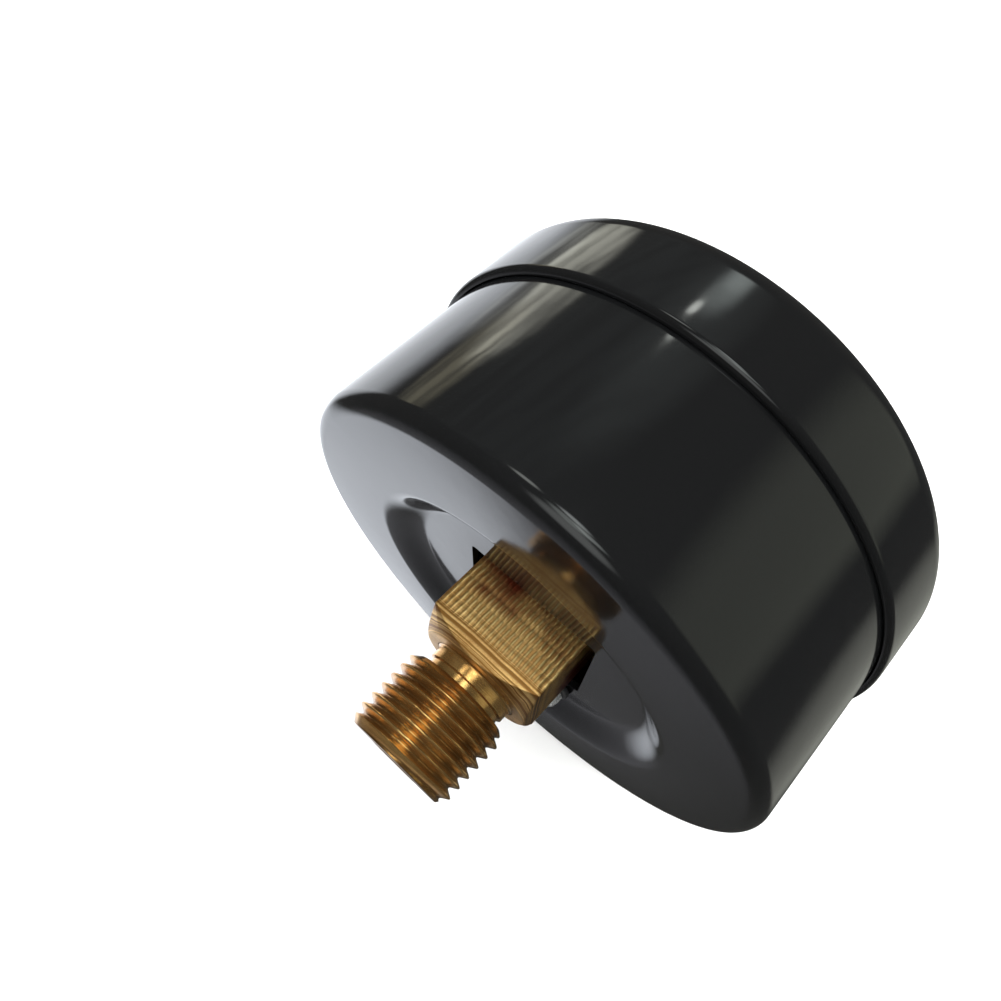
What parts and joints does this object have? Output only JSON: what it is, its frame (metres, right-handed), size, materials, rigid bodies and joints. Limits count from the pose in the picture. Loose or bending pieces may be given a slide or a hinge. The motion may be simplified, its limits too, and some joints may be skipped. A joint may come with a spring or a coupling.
{
  "type": "pressure gauge",
  "caption": "Round back-entry Bourdon tube pressure gauge in a gloss black steel case, with a square brass socket, threaded inlet and geared movement.",
  "frame": {"origin": "centre of the threaded inlet's end face, on the gauge's axis", "axes": "+Y points out of the inlet along the gauge's axis, -Y is the way the dial faces, +Z is the top of the dial"},
  "size_m": [0.0634, 0.0489, 0.0634],
  "materials": {
    "black_paint": "gloss black enamel on steel sheet",
    "brass": "turned and milled brass",
    "bronze": "phosphor bronze, drawn and stress relieved",
    "steel": "zinc plated steel",
    "glass": "clear flat glass",
    "rubber": "black rubber",
    "white_paint": "matt white enamel",
    "black_matt": "matt black enamel"
  },
  "bodies": {
    "gauge_body": {"case": "black_paint", "bezel": "black_paint", "window": "glass", "window_gasket": "rubber", "dial": "white_paint", "stop_pin": "brass", "socket": "brass", "throttle_screw": "brass", "bourdon_tube": "bronze", "hairspring": "bronze", "hairspring_stud": "brass", "movement_back_plate": "brass", "movement_front_plate": "brass", "pillar_1": "brass", "pillar_2": "brass", "movement_screw_1": "steel", "movement_screw_2": "steel", "case_screw_1": "steel", "case_screw_2": "steel", "case_washer_1": "rubber", "case_washer_2": "rubber", "dial_post_1": "brass", "dial_post_2": "brass", "dial_screw_1": "steel", "dial_screw_2": "steel"},
    "pointer_train": {"pointer": "black_matt", "pointer_bush": "brass", "pinion": "brass", "hairspring_collet": "brass"},
    "sector": {"sector_gear": "brass", "sector_shaft": "steel"},
    "tube_end": {"tube_tip": "brass", "tip_pin": "steel"},
    "link": {"link": "brass", "tail_pin": "steel"}
  },
  "joints": [
    {"name": "pointer_turn", "type": "hinge", "parent": "gauge_body", "child": "pointer_train", "pos_m": [0, -0.0377, 0], "axis": [0, 1, 0], "range_deg": [0, 270], "deforming": ["hairspring"]},
    {"name": "sector_swing", "type": "hinge", "parent": "gauge_body", "child": "sector", "pos_m": [0, -0.0357, -0.011], "axis": [0, 1, 0], "range_deg": [-27, 0]},
    {"name": "tip_lift", "type": "hinge", "parent": "gauge_body", "child": "tube_end", "pos_m": [-0.00517, -0.0317, 0.00434], "axis": [0, 1, 0], "range_deg": [-6.48, 0], "deforming": ["bourdon_tube"]},
    {"name": "link_turn", "type": "hinge", "parent": "tube_end", "child": "link", "pos_m": [0.011, -0.0357, -0.001], "axis": [0, 1, 0], "range_deg": [0, 13.05]}
  ],
  "couplings": [
    {"joint": "sector_swing", "follows": "pointer_turn", "ratio": -0.1},
    {"joint": "tip_lift", "follows": "pointer_turn", "ratio": -0.023987},
    {"joint": "link_turn", "follows": "pointer_turn", "ratio": 0.048338}
  ]
}
